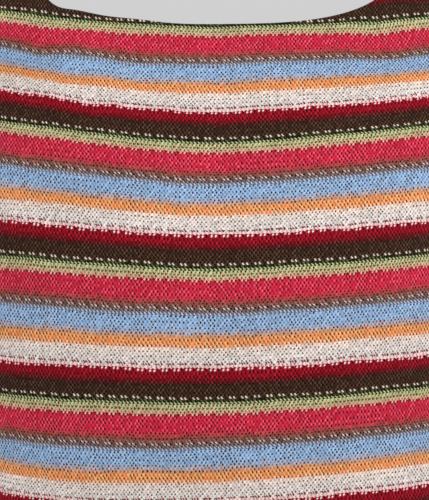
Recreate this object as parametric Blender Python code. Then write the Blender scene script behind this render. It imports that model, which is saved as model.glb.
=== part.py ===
"""A sleeveless knit tunic: a front and a back panel, sewn at the shoulders and sides.

Metres, +Z up, the front faces -Y. The origin lies midway between the two shoulder
seams, at the height of their middles.

Each panel is one wall of cloth. A point of it has a turn, from -1 at one side seam to
1 at the other, and a level. The level is the height where the cloth hangs, and runs on
over the roll of the shoulder, as far as the cloth does.
"""

import math
from collections import namedtuple

import bmesh
import bpy
from mathutils import Vector

WALL = 0.002                     # thickness of the knitted cloth
SEAM_GAP = 0.0003                # between the two panels, where they are sewn

HEM_LEVEL = -0.740
UNDERARM_LEVEL = -0.200

SHOULDER_MIDDLE = 0.150          # from the centre to the middle of a shoulder seam
SHOULDER_TIP = 0.176             # from the centre to the armhole end of the seam
SHOULDER_SLOPE = 0.4
ROLL_DROP = 0.090                # height over which the cloth rolls off the shoulder
ROLL_LENGTH = 0.130              # cloth in that roll

NECK_HALF_WIDTH = 0.124
NECK_CORNER = 0.88               # share of that width where the neckline turns upwards
ARMHOLE_TURN = 0.60              # turn at the narrowest place between the armholes
ARMHOLE_SCOOP = 0.45             # share of the armhole's height that is its rounded foot
STRAP_FOOT = 0.57                # share of the armhole's height where the strap begins
SECTION_POWER = 2.3              # 2 is an ellipse, more is squarer

SIDE_COLUMNS = 16                # columns of faces from the centre to a side seam
NECK_COLUMNS = 11                # those of them that end at the neckline
HANGING_ROWS = 18                # rows of faces from the hem to the underarm
CHEST_ROWS = 10                  # rows from the underarm to the foot of the straps
STRAP_ROWS = 10                  # rows from there to the shoulder seam

Section = namedtuple("Section", "level half_width front back")
SECTIONS = (
    Section(0.100, 0.205, 0.072, 0.088),
    Section(0.000, 0.203, 0.075, 0.097),
    Section(-0.060, 0.196, 0.081, 0.105),
    Section(-0.130, 0.184, 0.104, 0.112),
    Section(-0.200, 0.171, 0.123, 0.113),
    Section(-0.250, 0.169, 0.128, 0.108),
    Section(-0.310, 0.168, 0.123, 0.100),
    Section(-0.390, 0.168, 0.114, 0.094),
    Section(-0.480, 0.174, 0.112, 0.102),
    Section(-0.570, 0.185, 0.117, 0.113),
    Section(-0.660, 0.196, 0.121, 0.118),
    Section(-0.740, 0.206, 0.124, 0.120),
)

Neckline = namedtuple("Neckline", "lowest power")
FRONT_NECK = Neckline(lowest=-0.064, power=3.0)
BACK_NECK = Neckline(lowest=-0.052, power=3.5)

# Soft folds, each a ridge between two places, by distance from the centre and level.
Fold = namedtuple("Fold", "start_x start_level end_x end_level half_width height")
FRONT_FOLDS = (
    Fold(-0.160, -0.050, -0.050, -0.105, 0.016, 0.0045),
    Fold(-0.165, -0.150, -0.090, -0.235, 0.016, 0.0035),
    Fold(0.158, -0.050, 0.070, -0.105, 0.012, 0.0035),
    Fold(0.165, -0.140, 0.080, -0.225, 0.018, 0.0040),
)
BACK_FOLDS = (
    Fold(-0.150, -0.080, -0.060, -0.190, 0.020, 0.0045),
    Fold(0.155, -0.070, 0.070, -0.170, 0.018, 0.0040),
    Fold(-0.130, -0.330, 0.060, -0.385, 0.022, 0.0040),
    Fold(0.140, -0.360, -0.040, -0.430, 0.024, 0.0045),
)

# Flutes that open towards the hem, counted all round it.
Flute = namedtuple("Flute", "count depth phase")
FLUTES = (
    Flute(count=7, depth=0.0070, phase=0.6),
    Flute(count=4, depth=0.0035, phase=2.1),
)
FLUTE_TOP_LEVEL = -0.330

Colour = namedtuple("Colour", "red green blue")
RASPBERRY = Colour(0.60, 0.035, 0.090)
SKY_BLUE = Colour(0.18, 0.36, 0.68)


def section_at(level):
    """The section at a level, on a smooth curve through the rows of the table."""
    above = 0
    while above < len(SECTIONS) - 2 and level < SECTIONS[above + 1].level:
        above += 1
    rows = [SECTIONS[min(max(above + step, 0), len(SECTIONS) - 1)] for step in (-1, 0, 1, 2)]
    span = rows[1].level - rows[2].level
    share = min(max((rows[1].level - level) / span, 0.0), 1.0)

    def blend(name):
        before, start, end, after = (getattr(row, name) for row in rows)
        leave = (end - before) / (rows[0].level - rows[2].level) * span
        arrive = (after - start) / (rows[1].level - rows[3].level) * span
        cubed, squared = share ** 3, share ** 2
        return ((2 * cubed - 3 * squared + 1) * start + (cubed - 2 * squared + share) * leave
                + (3 * squared - 2 * cubed) * end + (cubed - squared) * arrive)

    return Section(level, blend("half_width"), blend("front"), blend("back"))


def shoulder_height(x):
    """Height of the line of the shoulder seams, carried on over the neck opening."""
    return (SHOULDER_MIDDLE - abs(x)) * SHOULDER_SLOPE


def level_of_height(x, height):
    """The level of the cloth at a height, seen from the front."""
    drop = shoulder_height(x) - height
    if drop >= ROLL_DROP:
        return height
    angle = math.acos(1 - drop / ROLL_DROP)
    return shoulder_height(x) + ROLL_LENGTH * (1 - angle / (math.pi / 2)) - ROLL_DROP


def turn_at(x, level):
    """The turn that puts a point of a level at a distance from the centre."""
    return math.asin(x / section_at(level).half_width) / (math.pi / 2)


def fold_height(folds, x, level):
    """How far the soft folds stand out at a place."""
    total = 0.0
    for fold in folds:
        run_x = fold.end_x - fold.start_x
        run_level = fold.end_level - fold.start_level
        run = math.hypot(run_x, run_level)
        along = ((x - fold.start_x) * run_x + (level - fold.start_level) * run_level) / run ** 2
        across = ((x - fold.start_x) * run_level - (level - fold.start_level) * run_x) / run
        if 0 < along < 1:
            fade = math.sin(math.pi * along)
            total += fold.height * fade * math.exp(-(across / fold.half_width) ** 2)
    return total


def flute_height(ring_angle, level):
    """How far the flutes stand out, at an angle round the ring from the front's centre."""
    share = (FLUTE_TOP_LEVEL - level) / (FLUTE_TOP_LEVEL - HEM_LEVEL)
    if share <= 0:
        return 0.0
    waves = sum(flute.depth * math.cos(flute.count * ring_angle + flute.phase) for flute in FLUTES)
    return waves * share ** 1.5


def cloth_point(turn, level, is_front):
    """The place in space of a point of a panel's outer side."""
    section = section_at(level)
    angle = turn * math.pi / 2
    ring_angle = angle if is_front else math.pi - angle
    x = section.half_width * math.sin(angle)
    cloth_below_seam = shoulder_height(x) + ROLL_LENGTH - ROLL_DROP - level
    if cloth_below_seam < ROLL_LENGTH:
        roll = cloth_below_seam / ROLL_LENGTH * math.pi / 2
        height = shoulder_height(x) - ROLL_DROP * (1 - math.cos(roll))
        fullness = math.sin(roll)
    else:
        height = level
        fullness = 1.0
    depth = section.front if is_front else section.back
    folds = FRONT_FOLDS if is_front else BACK_FOLDS
    roundness = max(1 - abs(math.sin(angle)) ** SECTION_POWER, 0.0) ** (1 / SECTION_POWER)
    depth = depth * roundness + fold_height(folds, x, level) * math.cos(angle)
    flute = flute_height(ring_angle, level)
    reach = depth * fullness + flute * abs(math.cos(angle)) + SEAM_GAP / 2
    return Vector((x + flute * math.sin(angle), -reach if is_front else reach, height))


def neck_place(across, rise, neckline):
    """Turn and level of the neckline, from its shares of the half width and the height."""
    x = NECK_HALF_WIDTH * across
    top = shoulder_height(NECK_HALF_WIDTH)
    level = level_of_height(x, neckline.lowest + rise * (top - neckline.lowest))
    return turn_at(x, level), level


def neck_rise(across, neckline):
    """Share of the neckline's height that it has risen at a share of its half width."""
    return 1 - (1 - abs(across) ** neckline.power) ** (1 / neckline.power)


def neck_foot(share, neckline):
    """The neckline's lower stretch, at a share from -1 to 1 between its two corners."""
    across = share * NECK_CORNER
    return neck_place(across, neck_rise(across, neckline), neckline)


def neck_side(share, neckline):
    """The neckline's upper stretch, at a share of the way from its corner to the shoulder."""
    corner_rise = neck_rise(NECK_CORNER, neckline)
    rise = corner_rise + (1 - corner_rise) * math.sin(share * math.pi / 2)
    across = (1 - (1 - rise) ** neckline.power) ** (1 / neckline.power)
    return neck_place(across, rise, neckline)


def shoulder_edge(share):
    """Turn and level of a shoulder seam, at a share of the way from the neck to its tip."""
    x = NECK_HALF_WIDTH + share * (SHOULDER_TIP - NECK_HALF_WIDTH)
    level = level_of_height(x, shoulder_height(x))
    return turn_at(x, level), level


def armhole_edge(rise):
    """Turn and level of the armhole, at a share of the height from underarm to shoulder."""
    tip_turn, tip_level = shoulder_edge(1.0)
    level = UNDERARM_LEVEL + rise * (tip_level - UNDERARM_LEVEL)
    if rise < ARMHOLE_SCOOP:
        below_narrowest = 1 - rise / ARMHOLE_SCOOP
        return 1 - (1 - ARMHOLE_TURN) * math.sqrt(1 - below_narrowest ** 2), level
    climb = (rise - ARMHOLE_SCOOP) / (1 - ARMHOLE_SCOOP)
    return ARMHOLE_TURN + (tip_turn - ARMHOLE_TURN) * climb ** 2 * (3 - 2 * climb), level


def between(start, end, share):
    """A turn and level part of the way from one place to another."""
    return tuple(first + share * (last - first) for first, last in zip(start, end))


def chest_place(column, share, neckline):
    """Turn and level between the underarm and the neckline or the foot of a strap."""
    side = column / SIDE_COLUMNS
    strap_foot = armhole_edge(STRAP_FOOT)
    if abs(column) <= NECK_COLUMNS:
        top_turn, top_level = neck_foot(column / NECK_COLUMNS, neckline)
    else:
        beyond_neck = (abs(column) - NECK_COLUMNS) / (SIDE_COLUMNS - NECK_COLUMNS)
        top_turn, top_level = between(neck_foot(1.0, neckline), strap_foot, beyond_neck)
        top_turn = math.copysign(top_turn, column)
    turn, level = between((side, UNDERARM_LEVEL), (top_turn, top_level), share)
    arm_turn, arm_level = armhole_edge(STRAP_FOOT * (1 - math.cos(share * math.pi / 2)))
    straight_turn, straight_level = between((1.0, UNDERARM_LEVEL), strap_foot, share)
    turn += side * abs(side) * (arm_turn - straight_turn)
    level += side ** 2 * (arm_level - straight_level)
    return turn, level


def strap_place(column, share, neckline):
    """Turn and level on a strap, at a share of the way from its foot to the shoulder."""
    beyond_neck = (abs(column) - NECK_COLUMNS) / (SIDE_COLUMNS - NECK_COLUMNS)
    neck_end = neck_side(share, neckline)
    arm_end = armhole_edge(STRAP_FOOT + share * (1 - STRAP_FOOT))
    turn, level = between(neck_end, arm_end, beyond_neck)
    straight_turn, straight_level = between(shoulder_edge(0.0), shoulder_edge(1.0), beyond_neck)
    seam_turn, seam_level = shoulder_edge(beyond_neck)
    turn += share * (seam_turn - straight_turn)
    level += share * (seam_level - straight_level)
    return math.copysign(turn, column), level


def panel_places(neckline):
    """Turn and level of every corner of a panel's faces, by its row and column."""
    places = {}
    for column in range(-SIDE_COLUMNS, SIDE_COLUMNS + 1):
        for row in range(HANGING_ROWS):
            level = HEM_LEVEL + row / HANGING_ROWS * (UNDERARM_LEVEL - HEM_LEVEL)
            places[row, column] = (column / SIDE_COLUMNS, level)
        for row in range(CHEST_ROWS + 1):
            places[HANGING_ROWS + row, column] = chest_place(column, row / CHEST_ROWS, neckline)
        if abs(column) >= NECK_COLUMNS:
            for row in range(1, STRAP_ROWS + 1):
                place = strap_place(column, row / STRAP_ROWS, neckline)
                places[HANGING_ROWS + CHEST_ROWS + row, column] = place
    return places


def is_sewn(row, column):
    """Whether a corner lies on a side seam or a shoulder seam."""
    on_side = abs(column) == SIDE_COLUMNS and row <= HANGING_ROWS
    return on_side or row == HANGING_ROWS + CHEST_ROWS + STRAP_ROWS


def make_material(name, colour):
    material = bpy.data.materials.new(name)
    material.use_nodes = True
    shader = material.node_tree.nodes["Principled BSDF"]
    shader.inputs["Base Color"].default_value = (*colour, 1.0)
    shader.inputs["Roughness"].default_value = 0.85
    shader.inputs["Metallic"].default_value = 0.0
    return material


def make_panel(name, is_front, neckline, colour):
    """One panel as a closed wall of cloth."""
    maker = bmesh.new()
    outer = {}
    for key, (turn, level) in panel_places(neckline).items():
        outer[key] = maker.verts.new(cloth_point(turn, level, is_front))
    for row, column in list(outer):
        corners = [(row, column), (row, column + 1), (row + 1, column + 1), (row + 1, column)]
        if all(corner in outer for corner in corners):
            face = [outer[corner] for corner in corners]
            maker.faces.new(face if is_front else face[::-1])
    maker.normal_update()

    outer_faces = list(maker.faces)
    rim_edges = [loop for face in outer_faces for loop in face.loops if loop.edge.is_boundary]
    rim_corners = [(loop.vert, loop.link_loop_next.vert) for loop in rim_edges]
    inner = {}
    for key, corner in outer.items():
        normal = corner.normal.copy()
        if is_sewn(*key):
            normal.y = 0.0
            normal.normalize()
        inner[corner] = maker.verts.new(corner.co - normal * WALL)
    for face in outer_faces:
        maker.faces.new([inner[corner] for corner in reversed(face.verts)])
    for here, there in rim_corners:
        maker.faces.new([there, here, inner[here], inner[there]])

    mesh = bpy.data.meshes.new(name)
    maker.to_mesh(mesh)
    maker.free()
    mesh.shade_smooth()
    mesh.set_sharp_from_angle(angle=math.radians(50))
    mesh.materials.append(make_material(name + "_cloth", colour))
    panel = bpy.data.objects.new(name, mesh)
    bpy.context.scene.collection.objects.link(panel)


def main():
    for thing in list(bpy.data.objects):
        bpy.data.objects.remove(thing, do_unlink=True)
    make_panel("front", True, FRONT_NECK, RASPBERRY)
    make_panel("back", False, BACK_NECK, SKY_BLUE)


main()
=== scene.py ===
"""The looks of a sleeveless knit tunic: striped knit panels, rolled edges and inner seams.

Metres, +Z up, the front faces -Y. A point of a panel has a turn, from -1 at one side
seam to 1 at the other, and a level, which is the height where the cloth hangs and runs
on over the roll of the shoulder. The knit is laid out in wales, the columns of stitches,
and in courses, the rows, which are counted downwards from the first raspberry stripe.
"""

import math
from collections import namedtuple

import bpy
import numpy as np
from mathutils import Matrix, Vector, kdtree


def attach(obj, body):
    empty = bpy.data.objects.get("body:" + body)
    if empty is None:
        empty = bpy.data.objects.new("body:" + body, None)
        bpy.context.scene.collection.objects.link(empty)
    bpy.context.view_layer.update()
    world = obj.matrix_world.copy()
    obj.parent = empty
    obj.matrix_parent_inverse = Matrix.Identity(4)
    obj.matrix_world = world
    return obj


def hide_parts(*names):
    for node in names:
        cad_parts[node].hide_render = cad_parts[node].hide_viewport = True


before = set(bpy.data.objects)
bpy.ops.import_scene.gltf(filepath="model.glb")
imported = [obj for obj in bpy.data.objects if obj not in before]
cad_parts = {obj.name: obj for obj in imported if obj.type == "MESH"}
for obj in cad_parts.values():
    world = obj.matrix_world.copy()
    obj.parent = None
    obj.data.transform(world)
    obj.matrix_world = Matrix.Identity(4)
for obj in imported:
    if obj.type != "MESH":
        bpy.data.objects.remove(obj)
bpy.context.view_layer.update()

# ------ sizes of the tunic

WALL = 0.002                     # thickness of the knitted cloth
SEAM_GAP = 0.0001                # between the two panels, where they are sewn

HEM_LEVEL = -0.740
UNDERARM_LEVEL = -0.200

SHOULDER_MIDDLE = 0.150          # from the centre to the middle of a shoulder seam
SHOULDER_TIP = 0.176             # from the centre to the armhole end of the seam
SHOULDER_SLOPE = 0.4
ROLL_DROP = 0.090                # height over which the cloth rolls off the shoulder
ROLL_LENGTH = 0.130              # cloth in that roll

NECK_HALF_WIDTH = 0.124
NECK_CORNER = 0.88               # share of that width where the neckline turns upwards
NECK_SIDE = 11 / 16              # share of a panel's half width that ends at the neckline
ARMHOLE_TURN = 0.60              # turn at the narrowest place between the armholes
ARMHOLE_SCOOP = 0.45             # share of the armhole's height that is its rounded foot
STRAP_FOOT = 0.57                # share of the armhole's height where the strap begins
SECTION_POWER = 2.3              # 2 is an ellipse, more is squarer

Section = namedtuple("Section", "level half_width front back")
SECTIONS = (
    Section(0.100, 0.205, 0.072, 0.088),
    Section(0.000, 0.203, 0.075, 0.097),
    Section(-0.060, 0.196, 0.081, 0.105),
    Section(-0.130, 0.184, 0.104, 0.112),
    Section(-0.200, 0.171, 0.123, 0.113),
    Section(-0.250, 0.169, 0.128, 0.108),
    Section(-0.310, 0.168, 0.123, 0.100),
    Section(-0.390, 0.168, 0.114, 0.094),
    Section(-0.480, 0.174, 0.112, 0.102),
    Section(-0.570, 0.185, 0.117, 0.113),
    Section(-0.660, 0.196, 0.121, 0.118),
    Section(-0.740, 0.206, 0.124, 0.120),
)

# A place where a neckline stands a little higher or lower, by distance from the centre.
Sway = namedtuple("Sway", "x width height")
Neckline = namedtuple("Neckline", "lowest power sways")
FRONT_NECK = Neckline(lowest=-0.064, power=3.0, sways=(
    Sway(-0.050, 0.020, 0.0015),
    Sway(-0.102, 0.012, -0.0044),
    Sway(0.108, 0.012, 0.0010),
))
BACK_NECK = Neckline(lowest=-0.052, power=3.5, sways=(
    Sway(-0.107, 0.019, -0.0080),
    Sway(0.106, 0.017, -0.0062),
))

# Soft folds, each a ridge between two places, by distance from the centre and level.
Fold = namedtuple("Fold", "start_x start_level end_x end_level half_width height")
FRONT_FOLDS = (
    Fold(-0.160, -0.050, -0.050, -0.105, 0.016, 0.0045),
    Fold(-0.165, -0.150, -0.090, -0.235, 0.016, 0.0035),
    Fold(0.158, -0.050, 0.070, -0.105, 0.012, 0.0035),
    Fold(0.165, -0.140, 0.080, -0.225, 0.018, 0.0040),
)
BACK_FOLDS = (
    Fold(-0.150, -0.080, -0.060, -0.190, 0.020, 0.0045),
    Fold(0.155, -0.070, 0.070, -0.170, 0.018, 0.0040),
    Fold(-0.130, -0.330, 0.060, -0.385, 0.022, 0.0040),
    Fold(0.140, -0.360, -0.040, -0.430, 0.024, 0.0045),
)

# Finer creases of the worn cloth; a negative height is a trough.
FRONT_CREASES = (
    Fold(0.076, -0.062, 0.104, -0.054, 0.0022, 0.0011),
    Fold(-0.150, -0.090, -0.105, -0.112, 0.0060, -0.0012),
    Fold(-0.166, -0.205, -0.112, -0.262, 0.0075, 0.0014),
    Fold(-0.168, -0.245, -0.128, -0.318, 0.0090, -0.0013),
    Fold(0.166, -0.188, 0.118, -0.248, 0.0070, 0.0015),
    Fold(0.168, -0.232, 0.122, -0.318, 0.0085, -0.0014),
    Fold(0.150, -0.352, 0.060, -0.402, 0.0110, 0.0013),
    Fold(-0.152, -0.366, -0.070, -0.408, 0.0100, 0.0012),
    Fold(-0.060, -0.452, 0.048, -0.430, 0.0120, -0.0011),
    Fold(-0.096, -0.470, -0.118, -0.735, 0.0130, 0.0026),
    Fold(0.022, -0.500, 0.030, -0.738, 0.0120, -0.0024),
    Fold(0.104, -0.455, 0.132, -0.730, 0.0140, 0.0028),
    Fold(-0.034, -0.560, -0.046, -0.738, 0.0110, 0.0022),
)
BACK_CREASES = (
    Fold(-0.092, -0.040, -0.020, -0.066, 0.0080, 0.0014),
    Fold(0.088, -0.044, 0.012, -0.072, 0.0090, -0.0012),
    Fold(-0.166, -0.200, -0.118, -0.268, 0.0080, 0.0015),
    Fold(0.166, -0.196, 0.110, -0.262, 0.0085, 0.0016),
    Fold(-0.120, -0.298, 0.030, -0.346, 0.0120, 0.0018),
    Fold(0.150, -0.322, 0.020, -0.382, 0.0110, -0.0016),
    Fold(-0.140, -0.412, 0.010, -0.452, 0.0130, 0.0016),
    Fold(-0.072, -0.480, -0.092, -0.736, 0.0140, 0.0027),
    Fold(0.050, -0.500, 0.062, -0.738, 0.0130, -0.0024),
    Fold(0.120, -0.470, 0.138, -0.730, 0.0120, 0.0025),
    Fold(-0.008, -0.540, -0.014, -0.738, 0.0120, 0.0022),
)

# Flutes that open towards the hem, counted all round it.
Flute = namedtuple("Flute", "count depth phase")
FLUTES = (
    Flute(count=7, depth=0.0070, phase=0.6),
    Flute(count=4, depth=0.0035, phase=2.1),
)
FLUTE_TOP_LEVEL = -0.330
FLUTE_POWER = 1.5                # how late they begin to open

# Slow unevenness of the cloth: radians per metre round a ring and down, with a height.
Ripple = namedtuple("Ripple", "round_rate down_rate height phase")
RIPPLES = (
    Ripple(41.0, 23.0, 0.00045, 0.4),
    Ripple(-29.0, 57.0, 0.00040, 1.9),
    Ripple(83.0, -37.0, 0.00022, 4.1),
)
RIPPLE_RADIUS = 0.15             # of that ring

EDGE_WIDTH = 0.006               # of the roll along a free edge
EDGE_FULLNESS = 0.0004           # how much that roll adds to the outer side
TURNING_WIDTH = 0.014            # of the cloth turned in behind a free edge
TURNING_THICKNESS = 0.0009
TURNING_STEP = 0.004             # over which the turned-in cloth thins out
SEAM_VALLEY_DEPTH = 0.0008
SEAM_VALLEY_WIDTH = 0.0022
SEAM_CALM_WIDTH = 0.012          # beside a seam, where creases and ripples fade out
ALLOWANCE_WIDTH = 0.008          # of the cloth turned in beside a seam
ALLOWANCE_THICKNESS = 0.0011
ALLOWANCE_STEP = 0.002           # over which that cloth thins out

NECK_COLUMNS = 52                # of faces, from the centre to the neck's corner
STRAP_COLUMNS = 32               # from there to the side seam
STRAP_EASE = 0.6                 # how much closer those lie at both ends
HANGING_ROWS = 145               # of faces, from the hem's edge to the underarm
CHEST_ROWS = 40                  # from the underarm to the foot of the straps
STRAP_ROWS = 32                  # from there to the shoulder seam
EDGE_ROWS = 6                    # finer rows at the hem, neck and shoulder
HEM_EDGE_SHARE = 0.015           # of the hanging rows' height, for the finer rows
CHEST_EDGE_SHARE = 0.06
STRAP_EDGE_SHARE = 0.08
EDGE_ROUND_STEPS = 5             # faces round a free edge, from outside to inside
EDGE_SAMPLES = 6                 # of each face's edge, to measure distances from

ARC_LEVELS = 86                  # of the table of lengths round the cloth
ARC_TURNS = 321
ARC_SPARE = 0.010                # below the hem

# The plan that a panel's finish is laid out on: how much cloth it takes in, round and up,
# and how much of a square the outer side fills. The inner side is narrower, beside it.
PLAN_ROUND = 0.58
PLAN_UP = 0.80
PLAN_WIDTH = 0.62
PLAN_HEIGHT = 0.94
PLAN_LEFT = 0.015
PLAN_FOOT = 0.020
INNER_PLAN_LEFT = 0.665
INNER_PLAN_WIDTH = 0.32

# ------ layout of the knit

# A line of stitches across the panel: the course that passes the centre at a level, how
# much higher it stands at the sides, and how much higher at the right than at the left.
CourseLine = namedtuple("CourseLine", "course level sag tilt")
COURSE_LINES = (
    CourseLine(-128.0, 0.1200, 0.010, 0.0000),
    CourseLine(0.0, -0.0710, 0.0119, -0.0031),
    CourseLine(31.6, -0.1192, 0.0219, -0.0028),
    CourseLine(48.0, -0.1435, 0.0199, -0.0018),
    CourseLine(79.6, -0.1944, 0.0135, -0.0006),
    CourseLine(96.0, -0.2210, 0.0117, 0.0010),
    CourseLine(127.6, -0.2746, 0.0080, 0.0024),
    CourseLine(144.0, -0.3010, 0.0079, 0.0032),
    CourseLine(175.6, -0.3549, 0.0093, 0.0014),
    CourseLine(411.0, -0.7500, 0.0060, 0.0000),
)
SAG_POWER = 1.4                  # how late such a line begins to rise
BACK_SAG = 0.7                   # share of the sides' rise that the back's middle has

# Places of the front where the stripes are drawn up or, below 0, down off those lines.
Lift = namedtuple("Lift", "x level half_width half_height rise")
STRIPE_LIFTS = (
    Lift(-0.050, -0.120, 0.045, 0.060, -0.0012),
    Lift(-0.100, -0.062, 0.035, 0.007, -0.0016),
    Lift(-0.108, -0.081, 0.012, 0.012, -0.0026),
    Lift(-0.088, -0.097, 0.014, 0.009, -0.0022),
    Lift(-0.060, -0.076, 0.016, 0.008, -0.0009),
    Lift(-0.050, -0.093, 0.018, 0.012, -0.0015),
    Lift(-0.080, -0.117, 0.012, 0.008, -0.0018),
    Lift(-0.022, -0.172, 0.016, 0.032, -0.0009),
    Lift(-0.064, -0.243, 0.020, 0.014, -0.0007),
    Lift(-0.046, -0.276, 0.016, 0.016, -0.0006),
    Lift(-0.036, -0.315, 0.022, 0.017, -0.0009),
    Lift(-0.095, -0.345, 0.062, 0.034, -0.0043),
    Lift(0.000, -0.345, 0.060, 0.014, -0.0004),
    Lift(0.032, -0.095, 0.025, 0.030, 0.0009),
    Lift(0.102, -0.078, 0.020, 0.014, -0.0027),
    Lift(0.094, -0.112, 0.018, 0.010, -0.0005),
)

# Width of one wale at levels.
Pitch = namedtuple("Pitch", "level width")
WALE_PITCHES = (
    Pitch(-0.060, 0.00228),
    Pitch(-0.140, 0.00246),
    Pitch(-0.280, 0.00246),
    Pitch(-0.340, 0.002385),
)
COURSE_HEIGHT = 0.0016           # of a course, on the rolled edges

# The repeat of the knit. Thick yarns make taller courses: measured in courses of one
# height, these courses begin at these places.
REPEAT_COURSES = 48
COURSE_PLACES = {
    0: 0.0, 8: 8.1, 10: 9.7, 12: 11.8, 13: 12.8, 20: 19.5, 24: 24.2, 30: 29.45,
    31: 30.5, 32: 31.0, 33: 32.8, 36: 36.0, 42: 42.0, 44: 43.6, 48: 48.0,
}

# The first course of a colour, its yarn, the second ply that shows on some loops, in most
# red and brown stripes lighter than the yarn as a painted highlight, and the painted shade
# in the gaps between the strands, tinted by the yarn around them, with how strong it is.
Course = namedtuple("Course", "first yarn ply gap depth")
COURSES = (
    Course(0, (176, 34, 48), (200, 70, 80), (78, 4, 14), 0.95),
    Course(1, (206, 40, 66), (236, 84, 108), (94, 0, 16), 0.68),
    Course(6, (200, 52, 70), (202, 76, 86), (74, 4, 16), 0.80),
    Course(7, (202, 72, 80), (160, 66, 68), (56, 10, 16), 0.88),
    Course(8, (158, 80, 72), (112, 78, 66), (40, 14, 12), 0.92),
    Course(9, (146, 82, 74), (110, 80, 68), (34, 14, 12), 0.95),
    Course(10, (116, 82, 76), (92, 78, 70), (22, 12, 12), 0.95),
    Course(11, (96, 78, 78), (82, 74, 72), (12, 7, 9), 1.00),
    Course(12, (100, 106, 126), (88, 88, 100), (10, 8, 14), 1.00),
    Course(13, (148, 180, 218), (168, 188, 210), (14, 34, 72), 0.70),
    Course(18, (158, 176, 204), (190, 168, 166), (26, 36, 68), 0.66),
    Course(19, (176, 172, 186), (204, 164, 148), (48, 40, 54), 0.72),
    Course(20, (216, 156, 118), (202, 158, 128), (66, 36, 30), 0.74),
    Course(21, (238, 144, 86), (224, 158, 94), (108, 42, 16), 0.68),
    Course(24, (242, 222, 210), (234, 208, 194), (90, 76, 68), 0.62),
    Course(26, (234, 220, 216), (220, 216, 200), (92, 82, 80), 0.60),
    Course(31, (244, 210, 206), (236, 200, 198), (140, 60, 70), 0.32),
    Course(32, (143, 12, 30), (174, 30, 46), (60, 0, 8), 0.88),
    Course(35, (119, 12, 24), (150, 31, 39), (42, 1, 5), 0.85),
    Course(36, (89, 20, 22), (118, 48, 45), (22, 4, 5), 0.82),
    Course(37, (59, 28, 22), (90, 58, 47), (13, 6, 5), 0.82),
    Course(38, (58, 37, 26), (90, 64, 48), (8, 5, 3), 0.92),
    Course(43, (26, 20, 11), (44, 40, 22), (6, 4, 2), 0.85),
    Course(44, (66, 72, 38), (54, 54, 26), (6, 6, 2), 1.00),
    Course(45, (190, 194, 142), (208, 188, 146), (64, 48, 24), 0.85),
    Course(47, (216, 178, 144), (202, 160, 126), (84, 40, 26), 0.80),
)

# Marks of single stitches: half their width in wales and half their height in courses, how
# many of those halves they reach, and over how many they fade out.
Spot = namedtuple("Spot", "width height reach fading")
GAP = Spot(0.21, 0.32, 1.35, 0.75)
LOOP = Spot(0.30, 0.60, 1.25, 0.90)
FLOAT = Spot(0.24, 0.30, 1.30, 0.70)
FLOAT_STRETCH = 0.40             # added to a float's height for each wale that it leans

# Noises over the knit; one of scale 1 changes about once a wale.
Noise = namedtuple("Noise", "scale detail roughness")
DRIFT = Noise(0.11, 2.0, 0.5)    # of the stitches off their lines
FIBRE = Noise(4.5, 3.0, 0.7)
BLOTCH = Noise(0.35, 2.0, 0.5)   # of a few stitches
PATCH = Noise(0.045, 3.0, 0.5)   # of looser and tighter knit

DRIFT_WALES = 0.9
DRIFT_COURSES = 0.8
WALE_SWING = 0.18                # how far courses swing up and down in each wale
GAP_STRAY_WALES = 0.24           # range that a gap strays over
GAP_STRAY_COURSES = 0.30
GAP_LEAST = 0.20                 # strength of the faintest painted shade in a gap
# how much the painted shade in the gaps is strengthened
GAP_DARKNESS = 2.1
ROW_CONTRAST = 6.0               # of the painted shade, between gaps of one course and the next, in patches
LEAN_MOST = 0.55                 # wales that a strand leans in a course
LEAN_RANGE = 0.95
STRAND_TONE = 0.84               # brightness of the yarn between the loops, and the painted highlight that a loop adds
LOOP_HIGHLIGHT = 0.30
STITCH_TONE_RANGE = 0.32
FIBRE_TONE_RANGE = 0.40
PATCH_TONE_RANGE = 0.24
PLY_BLOTCHES = 0.4               # how much the ply keeps to the blotches
PLY_CHANCES = (0.10, 0.80)       # between which the second ply comes to show

STRAND_RELIEF = 0.6              # heights of the yarn, as shares of the relief's depth
LOOP_RELIEF = 0.4
FLOAT_RELIEF = 0.5
FIBRE_RELIEF = 0.25
RELIEF_DEPTH = 0.0005
RELIEF_STRENGTH = 0.6
YARN_ROUGHNESS = 0.78            # of the smoothest yarn, and what fibres add
FIBRE_ROUGHNESS = 0.2
YARN_SPECULAR = 0.08
YARN_SHEEN = 0.02
YARN_SHEEN_ROUGHNESS = 0.5

# Courses with floats of a second yarn in groups, one to each three wales: where a group's
# middle lies within the three, how many wales its floats lean, their colour and strength,
# half the group's width, and how far apart they are, in wales.
Floats = namedtuple("Floats", "course middle lean colour strength reach spacing")
FLOATS = (
    Floats(0, 0.56, -0.36, (248, 196, 178), 0.88, 1.0, 1.0),
    Floats(9, 1.80, 0.50, (196, 156, 146), 0.60, 1.0, 1.0),
    Floats(10, 2.30, 0.50, (242, 224, 222), 0.85, 1.0, 1.0),
    Floats(11, 1.20, 0.50, (176, 158, 154), 0.55, 1.5, 1.0),
    Floats(12, 1.00, 0.50, (206, 214, 236), 0.80, 1.5, 1.0),
    Floats(21, 1.00, 0.55, (255, 200, 142), 0.50, 1.5, 1.0),
    Floats(22, 1.55, 0.55, (255, 200, 142), 0.50, 1.5, 1.0),
    Floats(23, 2.05, 0.50, (255, 228, 206), 0.62, 1.5, 1.0),
    Floats(30, 0.65, 0.35, (116, 14, 36), 1.00, 1.0, 0.667),
    Floats(32, 2.12, -0.10, (255, 240, 240), 0.98, 1.0, 1.0),
    Floats(42, 0.88, 0.50, (236, 226, 206), 0.84, 1.0, 1.0),
    Floats(43, 0.70, 0.50, (126, 136, 88), 0.35, 1.5, 1.0),
    Floats(44, 1.20, 0.50, (214, 224, 166), 0.95, 1.5, 1.0),
    Floats(46, 1.20, -0.45, (108, 50, 36), 0.96, 1.5, 1.0),
)
WALES_PER_GROUP = 3.0
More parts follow.
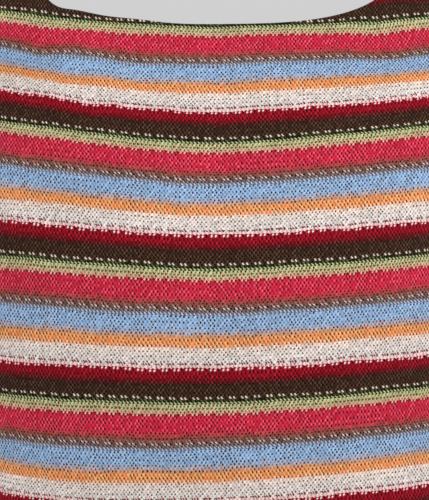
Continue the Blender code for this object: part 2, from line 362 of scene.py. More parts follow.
GROUP_EDGE = 0.02                # in wales
CLOSE_SHIFT = 1.5                # puts a float in the middle of closer ones
FLOAT_FULL = 1.05                # strength from which all floats are alike
FLOAT_UNEVENNESS = 1.6

# ------ picture

CAMERA_PLACE = (-0.0015, -1.825, -0.203)
CAMERA_LENS = 204.0

FLOOR_HEIGHT = -1.38
FLOOR_REACH = 12.0
FLOOR_COLOUR = (0.80, 0.79, 0.77)
FLOOR_ROUGHNESS = 0.9

Lamp = namedtuple("Lamp", "name place size power")
LAMPS = (
    Lamp("front_light", (0.5, -1.95, 1.62), 1.8, 30.5),
    Lamp("right_light", (2.4, -1.0, 0.7), 1.6, 13.2),
    Lamp("left_light", (-2.4, -0.9, 0.4), 1.6, 5.4),
    Lamp("back_light", (-1.2, 2.6, 0.9), 2.0, 16.0),
)
LAMP_AIM = (0.0, 0.0, -0.25)
SKY_COLOUR = (0.94, 0.94, 0.95)
SKY_STRENGTH = 0.67


# ------ form of the cloth

def section_at(level):
    """Half width, front and back depth at levels, on smooth curves through the table."""
    table = np.array(SECTIONS)
    levels = table[:, 0]
    last = len(levels) - 1
    start = np.clip(np.searchsorted(-levels, -level) - 1, 0, last - 1)
    before, end, after = np.maximum(start - 1, 0), start + 1, np.minimum(start + 2, last)
    span = levels[start] - levels[end]
    share = np.clip((levels[start] - level) / span, 0, 1)
    cubed, squared = share ** 3, share ** 2

    def blend(column):
        sizes = table[:, column]
        leave = (sizes[end] - sizes[before]) / (levels[before] - levels[end]) * span
        arrive = (sizes[after] - sizes[start]) / (levels[start] - levels[after]) * span
        return ((2 * cubed - 3 * squared + 1) * sizes[start]
                + (cubed - 2 * squared + share) * leave
                + (3 * squared - 2 * cubed) * sizes[end] + (cubed - squared) * arrive)

    return blend(1), blend(2), blend(3)


def shoulder_height(x):
    """Height of the line of the shoulder seams, carried on over the neck opening."""
    return (SHOULDER_MIDDLE - np.abs(x)) * SHOULDER_SLOPE


def level_of_height(x, height):
    """The level of the cloth at a height, seen from the front."""
    drop = shoulder_height(x) - height
    angle = np.arccos(1 - np.clip(drop, 0, ROLL_DROP) / ROLL_DROP)
    on_roll = shoulder_height(x) + ROLL_LENGTH * (1 - angle / (math.pi / 2)) - ROLL_DROP
    return np.where(drop >= ROLL_DROP, height, on_roll)


def turn_at(x, level):
    """The turn that puts a point of a level at a distance from the centre."""
    return np.arcsin(x / section_at(level)[0]) / (math.pi / 2)


def fold_height(folds, x, level):
    """How far folds stand out at places."""
    total = np.zeros(np.broadcast(x, level).shape)
    for fold in folds:
        run_x = fold.end_x - fold.start_x
        run_level = fold.end_level - fold.start_level
        run = math.hypot(run_x, run_level)
        along = ((x - fold.start_x) * run_x + (level - fold.start_level) * run_level) / run ** 2
        across = ((x - fold.start_x) * run_level - (level - fold.start_level) * run_x) / run
        swell = np.sin(math.pi * np.clip(along, 0, 1))
        total += fold.height * swell * np.exp(-(across / fold.half_width) ** 2)
    return total


def flute_height(ring_angle, level):
    """How far the flutes stand out, at angles round the ring from the front's centre."""
    share = np.clip((FLUTE_TOP_LEVEL - level) / (FLUTE_TOP_LEVEL - HEM_LEVEL), 0, None)
    waves = sum(flute.depth * np.cos(flute.count * ring_angle + flute.phase) for flute in FLUTES)
    return waves * share ** FLUTE_POWER


def ring_angle_at(turn, is_front):
    """The angle round the ring from the front's centre."""
    angle = turn * math.pi / 2
    return angle if is_front else math.pi - angle


def cloth_points(turn, level, is_front):
    """The places in space of points of a panel's outer side, as the solids have them."""
    half_width, front, back = section_at(level)
    angle = turn * math.pi / 2
    x = half_width * np.sin(angle)
    cloth_below_seam = shoulder_height(x) + ROLL_LENGTH - ROLL_DROP - level
    roll = np.minimum(cloth_below_seam / ROLL_LENGTH, 1) * math.pi / 2
    rolled_height = shoulder_height(x) - ROLL_DROP * (1 - np.cos(roll))
    height = np.where(cloth_below_seam < ROLL_LENGTH, rolled_height, level)
    roundness = np.maximum(1 - np.abs(np.sin(angle)) ** SECTION_POWER, 0) ** (1 / SECTION_POWER)
    depth = (front if is_front else back) * roundness
    folds = FRONT_FOLDS if is_front else BACK_FOLDS
    depth = depth + fold_height(folds, x, level) * np.cos(angle)
    flute = flute_height(ring_angle_at(turn, is_front), level)
    reach = depth * np.sin(roll) + flute * np.abs(np.cos(angle)) + SEAM_GAP / 2
    return np.stack([x + flute * np.sin(angle), -reach if is_front else reach, height], -1)


def neck_places(across, rise, neckline):
    """Turns and levels of the neckline, from its shares of the half width and height."""
    x = NECK_HALF_WIDTH * across
    top = shoulder_height(NECK_HALF_WIDTH)
    level = level_of_height(x, neckline.lowest + rise * (top - neckline.lowest))
    return turn_at(x, level), level


def neck_rise(across, neckline):
    """Share of the neckline's height that it has risen at shares of its half width."""
    return 1 - (1 - np.abs(across) ** neckline.power) ** (1 / neckline.power)


def neck_foot(share, neckline):
    """The neckline's lower stretch, at shares from -1 to 1 between its two corners."""
    across = share * NECK_CORNER
    return neck_places(across, neck_rise(across, neckline), neckline)


def neck_side(share, neckline):
    """The neckline's upper stretch, at shares of the way from its corner to the shoulder."""
    corner_rise = neck_rise(NECK_CORNER, neckline)
    rise = corner_rise + (1 - corner_rise) * np.sin(share * math.pi / 2)
    across = (1 - (1 - rise) ** neckline.power) ** (1 / neckline.power)
    return neck_places(across, rise, neckline)


def shoulder_edge(share):
    """Turns and levels of a shoulder seam, at shares of the way from the neck to its tip."""
    x = NECK_HALF_WIDTH + share * (SHOULDER_TIP - NECK_HALF_WIDTH)
    level = level_of_height(x, shoulder_height(x))
    return turn_at(x, level), level


def armhole_edge(rise):
    """Turns and levels of the armhole, at shares of the height from underarm to shoulder."""
    tip_turn, tip_level = shoulder_edge(np.array(1.0))
    level = UNDERARM_LEVEL + rise * (tip_level - UNDERARM_LEVEL)
    below_narrowest = np.clip(1 - rise / ARMHOLE_SCOOP, 0, 1)
    scoop = 1 - (1 - ARMHOLE_TURN) * np.sqrt(1 - below_narrowest ** 2)
    climb = np.clip((rise - ARMHOLE_SCOOP) / (1 - ARMHOLE_SCOOP), 0, 1)
    strap = ARMHOLE_TURN + (tip_turn - ARMHOLE_TURN) * climb ** 2 * (3 - 2 * climb)
    return np.where(rise < ARMHOLE_SCOOP, scoop, strap), level


def between(start, end, share):
    """Turns and levels part of the way from one place to another."""
    return tuple(first + share * (last - first) for first, last in zip(start, end))


def neck_sway(turn, level, neckline):
    """How much higher the cloth of a neckline stands than an even curve."""
    x = section_at(level)[0] * np.sin(turn * math.pi / 2)
    return sum(sway.height * np.exp(-((x - sway.x) / sway.width) ** 2)
               for sway in neckline.sways)


def chest_places(side, share, neckline):
    """Turns and levels between the underarm and the neckline or the foot of a strap."""
    strap_foot = armhole_edge(np.array(STRAP_FOOT))
    neck_turn, neck_level = neck_foot(np.clip(side / NECK_SIDE, -1, 1), neckline)
    neck_level = neck_level + neck_sway(neck_turn, neck_level, neckline)
    beyond_neck = (np.abs(side) - NECK_SIDE) / (1 - NECK_SIDE)
    foot_turn, foot_level = between((np.abs(neck_turn), neck_level), strap_foot, beyond_neck)
    is_neck = np.abs(side) <= NECK_SIDE
    top = (np.where(is_neck, neck_turn, np.copysign(foot_turn, side)),
           np.where(is_neck, neck_level, foot_level))
    turn, level = between((side, UNDERARM_LEVEL), top, share)
    arm_turn, arm_level = armhole_edge(STRAP_FOOT * (1 - np.cos(share * math.pi / 2)))
    straight_turn, straight_level = between((1.0, UNDERARM_LEVEL), strap_foot, share)
    turn = turn + side * np.abs(side) * (arm_turn - straight_turn)
    return turn, level + side ** 2 * (arm_level - straight_level)


def strap_places(side, share, neckline):
    """Turns and levels on a strap, at shares of the way from its foot to the shoulder."""
    beyond_neck = (np.abs(side) - NECK_SIDE) / (1 - NECK_SIDE)
    neck_turn, neck_level = neck_side(share, neckline)
    sway = neck_sway(np.copysign(neck_turn, side), neck_level, neckline) * (1 - share)
    arm_end = armhole_edge(STRAP_FOOT + share * (1 - STRAP_FOOT))
    turn, level = between((neck_turn, neck_level + sway), arm_end, beyond_neck)
    ends = shoulder_edge(np.array(0.0)), shoulder_edge(np.array(1.0))
    straight_turn, straight_level = between(*ends, beyond_neck)
    seam_turn, seam_level = shoulder_edge(beyond_neck)
    turn = turn + share * (seam_turn - straight_turn)
    return np.copysign(turn, side), level + share * (seam_level - straight_level)


# ------ places of the knit

def eased(count, ease):
    """Shares from 0 to 1, closer together at both ends."""
    share = np.linspace(0, 1, count + 1)
    return share - ease * np.sin(2 * math.pi * share) / (2 * math.pi)


def with_fine_end(count, fine_share):
    """Shares from 0 to 1, with some closer together just before 1."""
    return np.append(np.linspace(0, 1 - fine_share, count + 1)[:-1],
                     np.linspace(1 - fine_share, 1, EDGE_ROWS + 1))


def arc_table(is_front):
    """Levels, turns, and the cloth's length round from the centre to each of them."""
    levels = np.linspace(HEM_LEVEL - ARC_SPARE, SECTIONS[0].level, ARC_LEVELS)
    turns = np.linspace(-1, 1, ARC_TURNS)
    points = cloth_points(turns[None, :], levels[:, None], is_front)
    steps = np.linalg.norm(np.diff(points, axis=1), axis=2)
    lengths = np.concatenate([np.zeros((len(levels), 1)), np.cumsum(steps, axis=1)], axis=1)
    centre = ARC_TURNS // 2
    return levels, turns, lengths - lengths[:, centre:centre + 1]


def length_round(turn, level, is_front):
    """The cloth's length round from the centre line."""
    levels, turns, lengths = arc_table(is_front)
    row = (level - levels[0]) / (levels[1] - levels[0])
    column = (turn - turns[0]) / (turns[1] - turns[0])
    low_row = np.clip(np.floor(row).astype(int), 0, len(levels) - 2)
    low_column = np.clip(np.floor(column).astype(int), 0, len(turns) - 2)
    down, along = row - low_row, column - low_column
    ends = [lengths[place, low_column] * (1 - along) + lengths[place, low_column + 1] * along
            for place in (low_row, low_row + 1)]
    return ends[0] * (1 - down) + ends[1] * down


def wale_width(level):
    """Width of a wale at levels."""
    levels, widths = zip(*reversed(WALE_PITCHES))
    return np.interp(level, levels, widths)


def stripe_lift(x, level):
    """How far the front's stripes are drawn up off their lines."""
    return sum(lift.rise * np.exp(-((x - lift.x) / lift.half_width) ** 2
                                  - ((level - lift.level) / lift.half_height) ** 2)
               for lift in STRIPE_LIFTS)


def stitch_places(turn, level, is_front):
    """Wales from the centre, and courses down, of points of a panel."""
    wale = length_round(turn, level, is_front) / wale_width(level)
    swing = np.sin(turn * math.pi / 2)
    sag_share = np.abs(swing) ** SAG_POWER
    if is_front:
        level = level - stripe_lift(section_at(level)[0] * swing, level)
    else:
        sag_share = BACK_SAG + (1 - BACK_SAG) * sag_share
    course = np.full(level.shape, COURSE_LINES[0].course)
    for upper, lower in zip(COURSE_LINES, COURSE_LINES[1:]):
        top, bottom = (line.level + line.sag * sag_share + line.tilt * swing
                       for line in (upper, lower))
        share = (top - level) / (top - bottom)
        within = upper.course + share * (lower.course - upper.course)
        course = np.where(share > 0, within, course)
    in_repeat = course % REPEAT_COURSES
    evened = np.interp(in_repeat, list(COURSE_PLACES.values()), list(COURSE_PLACES))
    return wale, course - in_repeat + evened


# ------ panels

Corner = namedtuple("Corner", "turn level is_sewn")


def panel_grid(neckline):
    """Turn, level and sewn mark of each corner of a panel, by its row and column."""
    neck_share = np.linspace(0, NECK_SIDE, NECK_COLUMNS + 1)
    strap_share = NECK_SIDE + (1 - NECK_SIDE) * eased(STRAP_COLUMNS, STRAP_EASE)[1:]
    half = np.concatenate([neck_share, strap_share])
    side = np.concatenate([-half[:0:-1], half])
    hanging = 1 - with_fine_end(HANGING_ROWS, HEM_EDGE_SHARE)[::-1]
    chest = with_fine_end(CHEST_ROWS, CHEST_EDGE_SHARE)
    strap = with_fine_end(STRAP_ROWS, STRAP_EDGE_SHARE)
    middle = len(half) - 1

    grid = {}
    rows = [(side, HEM_LEVEL + share * (UNDERARM_LEVEL - HEM_LEVEL)) for share in hanging[:-1]]
    rows += [chest_places(side, share, neckline) for share in chest]
    rows += [strap_places(side, share, neckline) for share in strap[1:]]
    for row, (turns, levels) in enumerate(rows):
        turns, levels = np.broadcast_arrays(turns, levels)
        on_strap = row >= len(hanging) - 1 + len(chest)
        for column, (turn, level) in enumerate(zip(turns, levels)):
            if not on_strap or abs(column - middle) >= NECK_COLUMNS:
                on_side = column in (0, len(side) - 1) and row <= len(hanging) - 1
                grid[row, column] = Corner(turn, level, on_side or row == len(rows) - 1)
    return grid


def grid_faces(grid, is_front):
    """Faces between the grid's corners, as numbers of corners, turned outwards."""
    number = {key: place for place, key in enumerate(grid)}
    faces = []
    for row, column in grid:
        corners = [(row, column), (row, column + 1), (row + 1, column + 1), (row + 1, column)]
        if all(corner in number for corner in corners):
            face = [number[corner] for corner in corners]
            faces.append(face if is_front else face[::-1])
    return np.array(faces)


def unit(directions):
    """Directions brought to length 1; those without length stay 0."""
    return directions / np.maximum(np.linalg.norm(directions, axis=1, keepdims=True), 1e-9)


def at_corners(corners, directions, count):
    """Directions of faces or edges, joined at the corners where they meet."""
    total = np.zeros((count, directions.shape[1]))
    for column in corners.T:
        np.add.at(total, column, directions)
    return unit(total)


def corner_normals(points, faces):
    """Normals of the surface at its points."""
    across = points[faces[:, 2]] - points[faces[:, 0]]
    up = points[faces[:, 3]] - points[faces[:, 1]]
    return at_corners(faces, np.cross(across, up), len(points))


Edges = namedtuple("Edges", "border free sewn")


def panel_edges(faces, is_sewn):
    """Edges with a face on one side only, as pairs of corners: all, free and sewn ones."""
    edges = [(face[place], face[(place + 1) % 4]) for face in faces for place in range(4)]
    known = set(edges)
    border = np.array([edge for edge in edges if edge[::-1] not in known])
    on_seam = is_sewn[border].all(axis=1)
    return Edges(border, border[~on_seam], border[on_seam])


def distances_to(points, edges):
    """How far each point lies from the nearest of some edges, and that edge's corner."""
    tree = kdtree.KDTree(len(edges) * EDGE_SAMPLES)
    for start, end in edges:
        for sample in range(EDGE_SAMPLES):
            share = sample / EDGE_SAMPLES
            tree.insert(points[start] * (1 - share) + points[end] * share, start)
    tree.balance()
    _, corners, distances = zip(*(tree.find(point) for point in points))
    return np.array(distances), np.array(corners)


def fade(distance, width):
    """1 at no distance, smoothly down to 0 at a width."""
    share = np.clip(distance / width, 0, 1)
    return 1 - share ** 2 * (3 - 2 * share)


def ripple_height(ring_angle, level):
    """The slow unevenness of the cloth."""
    return sum(ripple.height * np.sin(ripple.round_rate * RIPPLE_RADIUS * ring_angle
                                      + ripple.down_rate * level + ripple.phase)
               for ripple in RIPPLES)


def outward_at(edges, points, normals):
    """Directions along the cloth and out of its edge, at the edge's corners."""
    starts, ends = edges.T
    outward = np.cross(points[ends] - points[starts], normals[starts] + normals[ends])
    return at_corners(edges, unit(outward), len(points))


def flat_outward_at(edges, around, level):
    """Directions out of the edge in the flat cut, round and up, at the edge's corners."""
    starts, ends = edges.T
    run, rise = around[ends] - around[starts], level[ends] - level[starts]
    return at_corners(edges, unit(np.stack([rise, -run], -1)), len(level))


def wall_sides(turn, level, is_front, is_sewn, faces, edges):
    """Points of a panel's outer and inner side, and directions out of its edges."""
    points = cloth_points(turn, level, is_front)
    normals = corner_normals(points, faces)
    # At a seam the wall stands in the plane between the two panels.
    through = unit(np.where(is_sewn[:, None], normals * (1, 0, 1), normals))

    from_edge, nearest = distances_to(points, edges.free)
    from_seam, _ = distances_to(points, edges.sewn)
    inset = WALL / 2 * fade(from_edge, EDGE_WIDTH)
    points = points - outward_at(edges.free, points, normals)[nearest] * inset[:, None]
    relief = fold_height(FRONT_CREASES if is_front else BACK_CREASES, points[:, 0], level)
    relief += ripple_height(ring_angle_at(turn, is_front), level)
    relief *= 1 - fade(from_seam, SEAM_CALM_WIDTH)
    relief -= SEAM_VALLEY_DEPTH * np.exp(-(from_seam / SEAM_VALLEY_WIDTH) ** 2)
    outside = relief + EDGE_FULLNESS * fade(from_edge, EDGE_WIDTH)
    past_turning = from_edge - TURNING_WIDTH + TURNING_STEP
    past_allowance = from_seam - ALLOWANCE_WIDTH + ALLOWANCE_STEP
    turning = TURNING_THICKNESS * fade(past_turning, TURNING_STEP)
    allowance = ALLOWANCE_THICKNESS * fade(past_allowance, ALLOWANCE_STEP)
    inside = relief - WALL - np.maximum(turning, allowance)
    outer = points + through * outside[:, None]
    inner = points + through * inside[:, None]
    return outer, inner, outward_at(edges.border, points, normals)


# The rounded rim of a panel: the corners that it follows, the numbers of its points in
# rings from the outer side to the inner one, its new points, and its faces as numbers of
# places in those rings.
Rim = namedtuple("Rim", "corners rings points faces")


def make_rim(outer, inner, outward, is_sewn, border):
    """The rim between the two sides of a panel, round at free edges and flat at sewn ones."""
    corners = np.unique(border)
    outward = np.where(is_sewn[:, None], 0, outward)[corners]
    middle = (outer[corners] + inner[corners]) / 2
    to_outer = outer[corners] - middle
    radius = np.linalg.norm(to_outer, axis=1, keepdims=True)
    angles = [math.pi * step / EDGE_ROUND_STEPS for step in range(1, EDGE_ROUND_STEPS)]
    points = [middle + to_outer * math.cos(angle) + outward * radius * math.sin(angle)
              for angle in angles]
    count = len(corners)
    new = 2 * len(outer) + np.arange(count * len(angles))
    rings = np.concatenate([corners, new, corners + len(outer)])
    here, there = np.searchsorted(corners, border).T
    first_faces = np.stack([there, here, here + count, there + count], -1)
    steps = np.arange(EDGE_ROUND_STEPS) * count
    faces = (first_faces[:, None] + steps[:, None]).reshape(-1, 4)
    return Rim(corners, rings, np.concatenate(points), faces)


def rim_reach(step):
    """How far round a free edge a ring of its rim lies from the outer side."""
    return step * math.pi * WALL / 2 / EDGE_ROUND_STEPS


def stitch_map(turn, level, is_front, rim, out):
    """Wales and courses of all points: outer side, inner side and rim."""
    side = np.stack(stitch_places(turn, level, is_front), -1)
    wales_out = out[:, 0] / wale_width(level[rim.corners])
    out_stitches = np.stack([wales_out, -out[:, 1] / COURSE_HEIGHT], -1)
    rings = [side[rim.corners] + out_stitches * rim_reach(step)
             for step in range(1, EDGE_ROUND_STEPS)]
    return np.concatenate([side, side, *rings])


def plan_map(around, level, faces, rim, out):
    """Places on the plan of the corners of all faces: outer side, inner side and rim."""
    scale = np.array([PLAN_WIDTH / PLAN_ROUND, PLAN_HEIGHT / PLAN_UP])
    hem_centre = np.array([PLAN_WIDTH / 2 + PLAN_LEFT, PLAN_FOOT])
    outer = np.stack([around, level - HEM_LEVEL], -1) * scale + hem_centre
    inner = outer.copy()
    inner[:, 0] = INNER_PLAN_LEFT + (outer[:, 0] - PLAN_LEFT) / PLAN_WIDTH * INNER_PLAN_WIDTH
    rings = [outer[rim.corners] + out * scale * rim_reach(step)
             for step in range(EDGE_ROUND_STEPS + 1)]
    return np.concatenate([outer[faces], inner[faces[:, ::-1]], np.concatenate(rings)[rim.faces]])


def make_panel(name, is_front, neckline, face_knit, back_knit):
    """One panel as a closed wall of knit with rolled edges, over its solid's form."""
    grid = panel_grid(neckline)
    turn, level, is_sewn = (np.array(values) for values in zip(*grid.values()))
    faces = grid_faces(grid, is_front)
    edges = panel_edges(faces, is_sewn)
    outer, inner, outward = wall_sides(turn, level, is_front, is_sewn, faces, edges)
    rim = make_rim(outer, inner, outward, is_sewn, edges.border)

    all_points = np.concatenate([outer, inner, rim.points])
    all_faces = np.concatenate([faces, faces[:, ::-1] + len(outer), rim.rings[rim.faces]])
    mesh = bpy.data.meshes.new(name)
    mesh.from_pydata(all_points.tolist(), [], all_faces.tolist())
    mesh.materials.append(face_knit)
    mesh.materials.append(back_knit)
    slots = np.repeat([0, 1, 0], [len(faces), len(faces), len(rim.faces)])
    mesh.polygons.foreach_set("material_index", slots.astype(np.int32))
    mesh.shade_smooth()

    around = length_round(turn, level, is_front)
    out = flat_outward_at(edges.border, around, level)
    out = np.where(is_sewn[:, None], 0, out)[rim.corners]
    add_map(mesh, "stitches", stitch_map(turn, level, is_front, rim, out)[all_faces])
    add_map(mesh, "OFBake", plan_map(around, level, faces, rim, out))
    return add_object(name, mesh)


def add_map(mesh, name, values):
    """A map of two values for each corner of each face."""
    layer = mesh.uv_layers.new(name=name)
    layer.data.foreach_set("uv", np.asarray(values, np.float32).ravel())


def add_object(name, data, place=(0.0, 0.0, 0.0)):
    """A new object of the scene."""
    added = bpy.data.objects.new(name, data)
    added.location = place
    bpy.context.scene.collection.objects.link(added)
    return added


# ------ finishes

class Wire:
    """A socket of a finish; arithmetic on it adds Math nodes to the same finish."""

    def __init__(self, tree, socket=None):
        self.tree = tree
        self.socket = socket

    def node(self, kind, settings=None, sockets=None, output=0):
        """A new node, first set up and then given values or links; one of its outputs."""
        made = self.tree.nodes.new("ShaderNode" + kind)
        for name, value in (settings or {}).items():
            if name == "stops":
                set_stops(made.color_ramp, value)
            elif name == "interpolation":
                made.color_ramp.interpolation = value
            else:
                setattr(made, name, value)
        for name, value in (sockets or {}).items():
            if isinstance(value, Wire):
                self.tree.links.new(value.socket, made.inputs[name])
            else:
                made.inputs[name].default_value = value
        return Wire(self.tree, made.outputs[output])

    def beside(self, output):
        """Another output of the same node."""
        return Wire(self.tree, self.socket.node.outputs[output])

    def math(self, operation, *others):
        """A Math node of an operation on this value and others."""
        return self.node("Math", {"operation": operation}, dict(enumerate((self, *others))))

    def __add__(self, other):
        return self.math("ADD", other)

    __radd__ = __add__

    def __sub__(self, other):
        return self.math("SUBTRACT", other)

    def __rsub__(self, other):
        return self.node("Math", {"operation": "SUBTRACT"}, {0: other, 1: self})

    def __mul__(self, other):
        return self.math("MULTIPLY", other)

    __rmul__ = __mul__

    def __truediv__(self, other):
        return self.math("DIVIDE", other)

    def __pow__(self, other):
        return self.math("POWER", other)

    def __mod__(self, other):
        return self.math("FLOORED_MODULO", other)

    def __abs__(self):
        return self.math("ABSOLUTE")

    def rise(self, low, high):
        """0 below the low value and 1 above the high one, smoothly between."""
        return self.node("MapRange", {"interpolation_type": "SMOOTHSTEP"},
                         {"Value": self, "From Min": low, "From Max": high})

    def varying(self, spread):
        """Values round 1, from a chance or noise of 0 to 1."""
        return self * spread + (1 - spread / 2)

    def mixed(self, other, share):
        """This colour, with a share of another."""
        return self.node("Mix", {"data_type": "RGBA"}, {0: share, 6: self, 7: other}, output=2)

    def dimmed(self, share):
        """This colour times a value."""
        return self.node("VectorMath", {"operation": "SCALE"}, {0: self, "Scale": share})


def set_stops(ramp, stops):
    """Sets a ramp to stops, each a place and a colour with an opacity."""
    while len(ramp.elements) < len(stops):
        ramp.elements.new(1.0)
    for element, (place, colour) in zip(ramp.elements, stops):
        element.position = place
        element.color = colour


def linear(colour):
    """Red, green and blue from 0 to 255, as the light that they stand for."""
    shares = [value / 255 for value in colour]
    return [share / 12.92 if share <= 0.04045 else ((share + 0.055) / 1.055) ** 2.4
            for share in shares]


def by_course(in_repeat, values):
    """The colour and opacity of a place in the repeat, from those of courses in order."""
    stops = [(first / REPEAT_COURSES, colour) for first, colour in values]
    return in_repeat.node("ValToRGB", {"interpolation": "CONSTANT", "stops": stops},
                          {0: in_repeat})


def float_stops(values_of):
    """Stops that hold values of floats on their own courses and nothing on the others."""
    values = {floats.course: values_of(floats) for floats in FLOATS}
    courses = sorted({*values, *(course + 1 for course in values)})
    return [(course, values.get(course, (0.0, 0.0, 0.0, 0.0))) for course in courses]


def chances(column, row):
    """Three chances from 0 to 1 for each stitch, as outputs of one node."""
    key = column.node("CombineXYZ", {}, {0: column, 1: row})
    chance = key.node("TexWhiteNoise", {"noise_dimensions": "2D"}, {"Vector": key}, output=1)
    return chance.node("SeparateColor", {}, {0: chance})


def noise(place, sizes, output=0):
    """An uneven value at each place, or, from the second output, three of them."""
    return place.node("TexNoise", {"noise_dimensions": "2D"},
                      {"Vector": place, "Scale": sizes.scale, "Detail": sizes.detail,
                       "Roughness": sizes.roughness}, output)


def spot(across, down, form):
    """1 in the middle of a mark and 0 past its reach, from distances in half sizes."""
    return (form.reach - (across ** 2 + down ** 2) ** 0.5).rise(0.0, form.fading)


def wandering_stitches(place):
    """Wales and courses at places, with the stitches drifting a little off their lines."""
    drift = place.node("SeparateColor", {}, {0: noise(place, DRIFT, output=1)})
    even_wale = place.node("SeparateXYZ", {}, {0: place})
    wale = even_wale + (drift - 0.5) * DRIFT_WALES
    course = even_wale.beside(1) + (drift.beside(1) - 0.5) * DRIFT_COURSES
    swing = (wale * (2 * math.pi)).math("SINE") * (course * math.pi).math("COSINE")
    return wale, course + swing * WALE_SWING


def float_marks(wale, in_repeat, down, chance):
    """How strongly floats cover each place, and their colour."""
    # A lean from -1 to 1 is held as a value from 0 to 1.
    forms = by_course(in_repeat, float_stops(
        lambda f: (f.middle / WALES_PER_GROUP, (f.lean + 1) / 2, f.reach / WALES_PER_GROUP,
                   f.strength)))
    colour = by_course(in_repeat, float_stops(lambda f: (*linear(f.colour), f.spacing)))
    middle = forms.node("SeparateColor", {}, {0: forms})
    lean = middle.beside(1) * 2 - 1
    reach = middle.beside(2) * WALES_PER_GROUP
    strength = forms.beside(1)
    spacing = colour.beside(1)

    group = (wale - down * lean) / WALES_PER_GROUP - middle + 0.5
    from_middle = abs(group % 1 - 0.5) * WALES_PER_GROUP
    beside_float = abs((from_middle / spacing + (1 - spacing) * CLOSE_SHIFT) % 1 - 0.5) * spacing
    half_height = abs(lean) * FLOAT_STRETCH + FLOAT.height
    mark = spot(beside_float / FLOAT.width, down * spacing / half_height, FLOAT)
    mark = mark * (reach - from_middle).rise(0.0, GROUP_EDGE)
    unevenness = (chance - 0.5) * (FLOAT_FULL - strength) * FLOAT_UNEVENNESS
    return mark * (strength + unevenness), colour


def make_knit(name, is_face):
    """Fine striped knit: leaning strands with painted highlights on their loops, painted shade in
    the gaps between them, and floats.
    """
    material = bpy.data.materials.new(name)
    material.use_nodes = True
    tree = material.node_tree
    shader = tree.nodes["Principled BSDF"]
    place = Wire(tree).node("UVMap", {"uv_map": "stitches"})
    fibre = noise(place, FIBRE)
    patch = noise(place, PATCH)
    blotch = noise(place, BLOTCH)

    wale, course = wandering_stitches(place)
    row = course.math("FLOOR")
    parity = row % 2
    shifted = wale + parity * 0.5
    down = course - row - 0.5
    gap_chance = chances(shifted.math("FLOOR"), row)
    stitch_chance = chances((shifted + 0.5).math("FLOOR"), row)

    # Gaps between the strands: sunk in the relief and darkened with painted shade.
    gap_across = (shifted % 1 - 0.5 - (gap_chance - 0.5) * GAP_STRAY_WALES) / GAP.width
    gap_down = (down - (gap_chance.beside(1) - 0.5) * GAP_STRAY_COURSES) / GAP.height
    uneven = (1 + (parity - 0.5) * (patch - 0.5) * ROW_CONTRAST) * (0.5 + blotch)
    hole = spot(gap_across, gap_down, GAP) * (GAP_LEAST + gap_chance.beside(2)) * uneven

    lean = LEAN_MOST - stitch_chance * LEAN_RANGE
    loop_across = ((shifted + 0.5) % 1 - 0.5 - down * lean) / LOOP.width
    loop = spot(loop_across, down / LOOP.height, LOOP)

    # A loop is lighter than the yarn between loops: a painted highlight, varied at random by
    # stitch, fibre and patch.
    highlight_and_tone = (STRAND_TONE + loop * LOOP_HIGHLIGHT) * stitch_chance.beside(1).varying(STITCH_TONE_RANGE)
    highlight_and_tone = highlight_and_tone * fibre.varying(FIBRE_TONE_RANGE) * patch.varying(PATCH_TONE_RANGE)
    in_repeat = (row + 0.5) % REPEAT_COURSES / REPEAT_COURSES
    yarn = by_course(in_repeat, [(c.first, (*linear(c.yarn), 1.0)) for c in COURSES])
    ply = by_course(in_repeat, [(c.first, (*linear(c.ply), 1.0)) for c in COURSES])
    gap = by_course(in_repeat, [(c.first, (*linear(c.gap), c.depth)) for c in COURSES])
    # The second ply shows on some loops; in most red and brown stripes it is lighter than the
    # yarn, a painted highlight.
    ply_chance = stitch_chance.beside(2) + (blotch - 0.5) * PLY_BLOTCHES
    colour = yarn.mixed(ply, ply_chance.rise(*PLY_CHANCES) * loop).dimmed(highlight_and_tone)

    mark, mark_colour = float_marks(wale, in_repeat, down, stitch_chance.beside(2))
    # The gaps take their course's painted shade, except where floats cover them.
    hole = (hole * gap.beside(1) * GAP_DARKNESS).math("MINIMUM", 1.0) * (1 - mark)
    colour = colour.mixed(gap, hole).mixed(mark_colour, mark)

    if is_face:
        strands = (STRAND_RELIEF + loop * LOOP_RELIEF) * (1 - hole)
        height = strands + mark * FLOAT_RELIEF + fibre * FIBRE_RELIEF
    else:
        height = (down * math.pi).math("COSINE") + fibre * FIBRE_RELIEF
    bump = height.node("Bump", {}, {"Strength": RELIEF_STRENGTH, "Distance": RELIEF_DEPTH,
                                    "Height": height})
    roughness = YARN_ROUGHNESS + fibre * FIBRE_ROUGHNESS

    tree.links.new(colour.socket, shader.inputs["Base Color"])
    tree.links.new(roughness.socket, shader.inputs["Roughness"])
    tree.links.new(bump.socket, shader.inputs["Normal"])
    shader.inputs["Specular IOR Level"].default_value = YARN_SPECULAR
    shader.inputs["Sheen Weight"].default_value = YARN_SHEEN
    shader.inputs["Sheen Roughness"].default_value = YARN_SHEEN_ROUGHNESS
    return material


# ------ picture

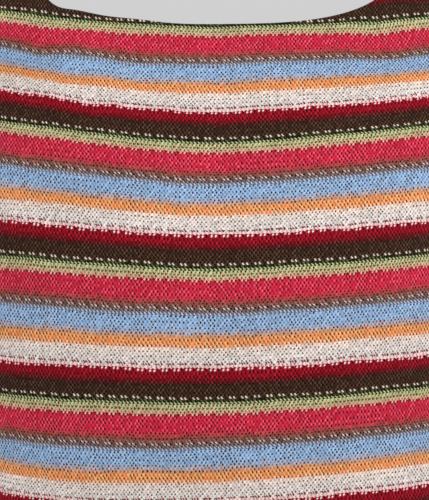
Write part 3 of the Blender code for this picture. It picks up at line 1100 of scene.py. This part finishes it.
def make_floor():
    """A wide pale floor far below the tunic."""
    material = bpy.data.materials.new("pale_floor")
    material.use_nodes = True
    shader = material.node_tree.nodes["Principled BSDF"]
    shader.inputs["Base Color"].default_value = (*FLOOR_COLOUR, 1.0)
    shader.inputs["Roughness"].default_value = FLOOR_ROUGHNESS
    mesh = bpy.data.meshes.new("floor")
    corners = [(-FLOOR_REACH, -FLOOR_REACH, 0), (FLOOR_REACH, -FLOOR_REACH, 0),
               (FLOOR_REACH, FLOOR_REACH, 0), (-FLOOR_REACH, FLOOR_REACH, 0)]
    mesh.from_pydata(corners, [], [(0, 1, 2, 3)])
    mesh.materials.append(material)
    floor = add_object("floor", mesh, (0.0, 0.0, FLOOR_HEIGHT))


def make_light(lamp):
    """A soft square light that faces the tunic and isn't seen itself."""
    light = bpy.data.lights.new(lamp.name, "AREA")
    light.size = lamp.size
    light.energy = lamp.power
    holder = add_object(lamp.name, light, lamp.place)
    facing = Vector(LAMP_AIM) - Vector(lamp.place)
    holder.rotation_euler = facing.to_track_quat("-Z", "Y").to_euler()
    holder.visible_camera = False


def make_studio():
    """Even pale surroundings and four lights."""
    world = bpy.data.worlds.new("studio")
    world.use_nodes = True
    background = world.node_tree.nodes["Background"]
    background.inputs["Color"].default_value = (*SKY_COLOUR, 1.0)
    background.inputs["Strength"].default_value = SKY_STRENGTH
    bpy.context.scene.world = world
    bpy.context.scene.view_settings.view_transform = "Standard"
    for lamp in LAMPS:
        make_light(lamp)


def make_camera():
    """A camera straight in front of the chest."""
    data = bpy.data.cameras.new("camera")
    data.lens = CAMERA_LENS
    camera = add_object("camera", data, CAMERA_PLACE)
    camera.rotation_euler = (math.pi / 2, 0.0, 0.0)
    bpy.context.scene.camera = camera


# ------ the tunic

make_camera()
make_studio()
make_floor()

face_knit = make_knit("striped_knit_face", True)
back_knit = make_knit("striped_knit_back", False)

for name, is_front, neckline in (("front", True, FRONT_NECK), ("back", False, BACK_NECK)):
    panel = make_panel(name + "_cloth", is_front, neckline, face_knit, back_knit)
    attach(panel, "root")
    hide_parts(name)
